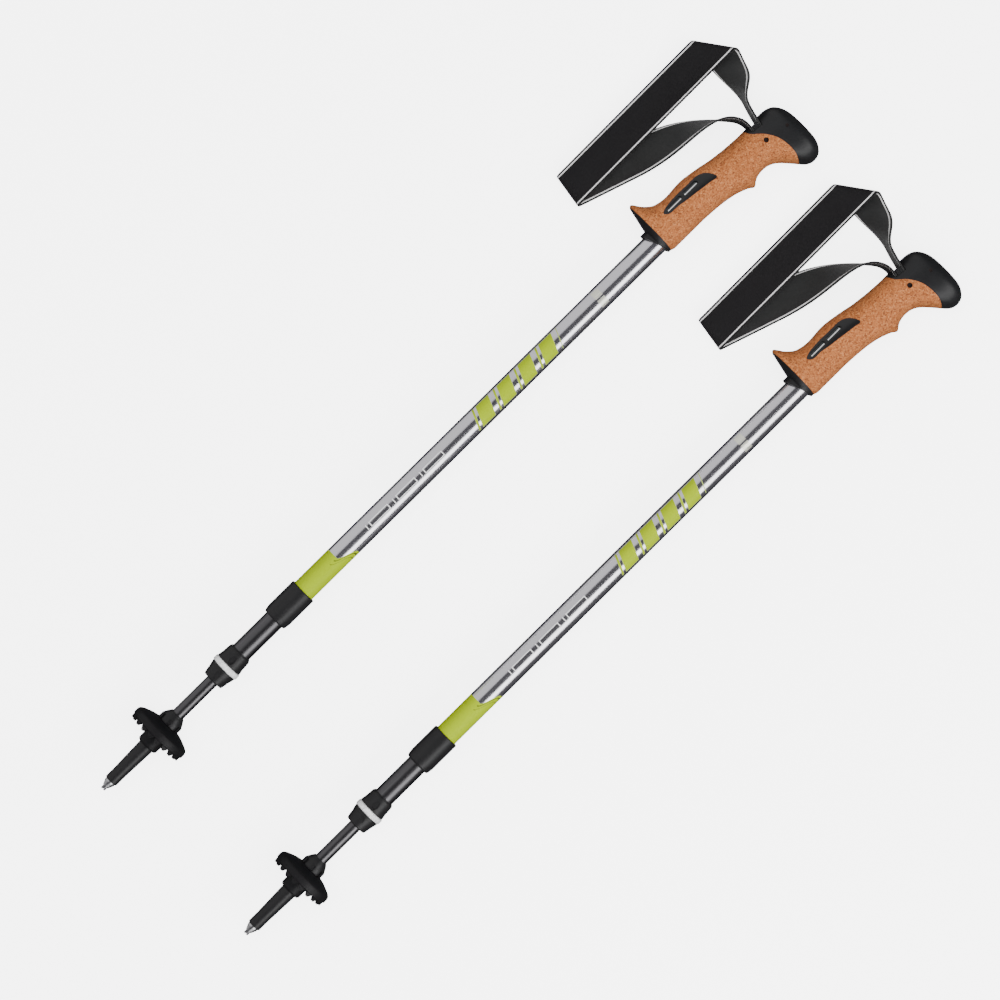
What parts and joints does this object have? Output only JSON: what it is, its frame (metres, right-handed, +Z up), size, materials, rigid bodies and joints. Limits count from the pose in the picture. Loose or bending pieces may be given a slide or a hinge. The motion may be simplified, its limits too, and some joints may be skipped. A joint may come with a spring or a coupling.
{
  "type": "telescoping trekking poles",
  "caption": "Telescoping trekking poles with cork grips, black pommel heads, webbing wrist straps, twist locks, a damper ring, domed baskets and carbide tips, lying side by side.",
  "frame": {"origin": "centre of the bounding box, on the ground that the poles lie on", "axes": "+X along the poles towards the grips, +Y towards the straps, +Z up from the ground"},
  "size_m": [0.7168, 0.2768, 0.0487],
  "materials": {
    "bright_tube": "polished, with printed bands",
    "dark_tube": "anodised",
    "carbide": "ground",
    "bright_steel": "turned",
    "dark_steel": "blackened",
    "black_plastic": "satin moulded",
    "basket_plastic": "satin moulded",
    "inlay_rubber": "glossy",
    "white_elastomer": "matt",
    "cork": "granulated, sanded",
    "webbing": "woven"
  },
  "bodies": {
    "shaft_1": {"upper_tube_1": "bright_tube", "upper_sleeve_1": "black_plastic", "grip_core_1": "black_plastic", "cork_grip_1": "cork", "grip_head_1": "black_plastic", "inlay_left_1": "inlay_rubber", "inlay_right_1": "inlay_rubber", "strap_pin_1": "dark_steel", "head_pin_1": "dark_steel"},
    "wedge_1": {"strap_wedge_1": "black_plastic"},
    "strap_1": {"wrist_strap_1": "webbing"},
    "expanding_sleeve_1": {"expander_1": "black_plastic"},
    "drawn_cone_1": {"expander_cone_1": "black_plastic"},
    "middle_1": {"middle_tube_1": "dark_tube", "spindle_plug_1": "black_plastic", "lock_spindle_1": "bright_steel", "damper_collar_1": "black_plastic", "damper_ring_1": "white_elastomer"},
    "collet_carrier_1": {"collet_1": "black_plastic"},
    "lock_ring_1": {"lock_collar_1": "black_plastic"},
    "lower_1": {"lower_tube_1": "dark_tube", "guide_plug_1": "black_plastic", "flex_tip_1": "black_plastic", "tip_holder_1": "bright_steel", "carbide_tip_1": "carbide"},
    "snow_basket_1": {"basket_1": "basket_plastic"},
    "shaft_2": {"upper_tube_2": "bright_tube", "upper_sleeve_2": "black_plastic", "grip_core_2": "black_plastic", "cork_grip_2": "cork", "grip_head_2": "black_plastic", "inlay_left_2": "inlay_rubber", "inlay_right_2": "inlay_rubber", "strap_pin_2": "dark_steel", "head_pin_2": "dark_steel"},
    "wedge_2": {"strap_wedge_2": "black_plastic"},
    "strap_2": {"wrist_strap_2": "webbing"},
    "expanding_sleeve_2": {"expander_2": "black_plastic"},
    "drawn_cone_2": {"expander_cone_2": "black_plastic"},
    "middle_2": {"middle_tube_2": "dark_tube", "spindle_plug_2": "black_plastic", "lock_spindle_2": "bright_steel", "damper_collar_2": "black_plastic", "damper_ring_2": "white_elastomer"},
    "collet_carrier_2": {"collet_2": "black_plastic"},
    "lock_ring_2": {"lock_collar_2": "black_plastic"},
    "lower_2": {"lower_tube_2": "dark_tube", "guide_plug_2": "black_plastic", "flex_tip_2": "black_plastic", "tip_holder_2": "bright_steel", "carbide_tip_2": "carbide"},
    "snow_basket_2": {"basket_2": "basket_plastic"}
  },
  "joints": [
    {"name": "upper_length_1", "type": "slide", "parent": "shaft_1", "child": "expanding_sleeve_1", "axis": [1, 0, -0.01], "range_m": [-0.33, 0.033]},
    {"name": "middle_twist_1", "type": "hinge", "parent": "expanding_sleeve_1", "child": "middle_1", "pos_m": [0.23154, 0.04979, 0.01907], "axis": [1, 0, -0.01], "range_deg": [0, 270]},
    {"name": "cone_draw_1", "type": "slide", "parent": "expanding_sleeve_1", "child": "drawn_cone_1", "axis": [-1, 0, 0.01], "range_m": [0, 0.0016]},
    {"name": "damper_1", "type": "slide", "parent": "middle_1", "child": "collet_carrier_1", "axis": [1, 0, -0.01], "range_m": [0, 0.0015], "stiffness_N_per_m": 100000, "deforming": ["damper_ring_1"]},
    {"name": "lock_turn_1", "type": "hinge", "parent": "collet_carrier_1", "child": "lock_ring_1", "pos_m": [-0.24043, 0.04979, 0.02377], "axis": [1, 0, -0.01], "range_deg": [0, 180]},
    {"name": "lower_length_1", "type": "slide", "parent": "collet_carrier_1", "child": "lower_1", "axis": [1, 0, -0.01], "range_m": [-0.3, 0.034]},
    {"name": "basket_off_1", "type": "slide", "parent": "lower_1", "child": "snow_basket_1", "axis": [-1, 0, 0.01], "range_m": [0, 0.09]},
    {"name": "wedge_release_1", "type": "slide", "parent": "shaft_1", "child": "wedge_1", "axis": [0, 1, 0], "range_m": [0, 0.004]},
    {"name": "strap_swing_1", "type": "hinge", "parent": "shaft_1", "child": "strap_1", "pos_m": [0.32404, 0.06349, 0.01815], "axis": [0, 0, 1], "range_deg": [-24, 8], "deforming": ["wrist_strap_1"]},
    {"name": "upper_length_2", "type": "slide", "parent": "shaft_2", "child": "expanding_sleeve_2", "axis": [1, 0, -0.01], "range_m": [-0.33, 0.033]},
    {"name": "middle_twist_2", "type": "hinge", "parent": "expanding_sleeve_2", "child": "middle_2", "pos_m": [0.23154, -0.09941, 0.01907], "axis": [1, 0, -0.01], "range_deg": [0, 270]},
    {"name": "cone_draw_2", "type": "slide", "parent": "expanding_sleeve_2", "child": "drawn_cone_2", "axis": [-1, 0, 0.01], "range_m": [0, 0.0016]},
    {"name": "damper_2", "type": "slide", "parent": "middle_2", "child": "collet_carrier_2", "axis": [1, 0, -0.01], "range_m": [0, 0.0015], "stiffness_N_per_m": 100000, "deforming": ["damper_ring_2"]},
    {"name": "lock_turn_2", "type": "hinge", "parent": "collet_carrier_2", "child": "lock_ring_2", "pos_m": [-0.24043, -0.09941, 0.02377], "axis": [1, 0, -0.01], "range_deg": [0, 180]},
    {"name": "lower_length_2", "type": "slide", "parent": "collet_carrier_2", "child": "lower_2", "axis": [1, 0, -0.01], "range_m": [-0.3, 0.034]},
    {"name": "basket_off_2", "type": "slide", "parent": "lower_2", "child": "snow_basket_2", "axis": [-1, 0, 0.01], "range_m": [0, 0.09]},
    {"name": "wedge_release_2", "type": "slide", "parent": "shaft_2", "child": "wedge_2", "axis": [0, 1, 0], "range_m": [0, 0.004]},
    {"name": "strap_swing_2", "type": "hinge", "parent": "shaft_2", "child": "strap_2", "pos_m": [0.32404, -0.08571, 0.01815], "axis": [0, 0, 1], "range_deg": [-24, 8], "deforming": ["wrist_strap_2"]},
    {"name": "second_pole_lift", "type": "slide", "parent": "shaft_1", "child": "shaft_2", "axis": [0, 0, 1], "range_m": [0, 0.25]}
  ],
  "couplings": [
    {"joint": "cone_draw_1", "follows": "middle_twist_1", "m_per_rad": 0.000318},
    {"joint": "cone_draw_2", "follows": "middle_twist_2", "m_per_rad": 0.000318}
  ]
}
